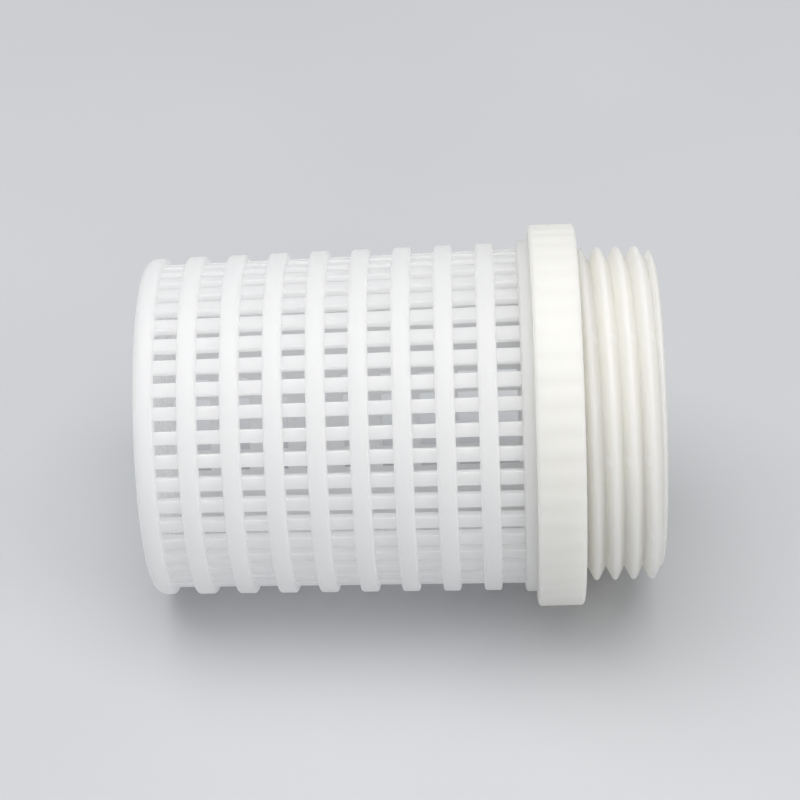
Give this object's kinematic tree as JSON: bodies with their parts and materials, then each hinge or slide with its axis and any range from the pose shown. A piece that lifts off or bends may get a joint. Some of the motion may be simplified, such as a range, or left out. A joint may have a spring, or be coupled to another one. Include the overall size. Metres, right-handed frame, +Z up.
{
  "type": "foot valve",
  "caption": "Plastic foot valve: slotted suction strainer below a threaded, fluted collar that holds a spring-loaded, wing-guided poppet.",
  "frame": {"origin": "on the valve axis, in the collar face that the thread stands on", "axes": "+X along the valve axis towards the threaded outlet; +Z up with the valve on its side, as it lies in the view; all of it is symmetric enough about X that Y and Z are otherwise free"},
  "size_m": [0.0637, 0.048, 0.048],
  "materials": {
    "basket_plastic": "satin",
    "collar_plastic": "satin",
    "valve_plastic": "satin",
    "rubber": "matte",
    "stainless": "brushed"
  },
  "bodies": {
    "valve_body": {"strainer_basket": "basket_plastic", "threaded_collar": "collar_plastic", "valve_seat": "valve_plastic", "seat_gasket": "rubber", "guide_spider": "valve_plastic", "retaining_ring": "stainless", "return_spring": "stainless"},
    "poppet": {"poppet_disc": "valve_plastic", "poppet_seal": "rubber", "wing_guide": "valve_plastic", "valve_stem": "stainless", "stem_washer": "stainless", "stem_nut": "stainless"}
  },
  "joints": [
    {"name": "poppet_lift", "type": "slide", "parent": "valve_body", "child": "poppet", "axis": [1, 0, 0], "range_m": [0, 0.0034], "stiffness_N_per_m": 300, "springref_m": -0.0024, "deforming": ["return_spring"]}
  ]
}
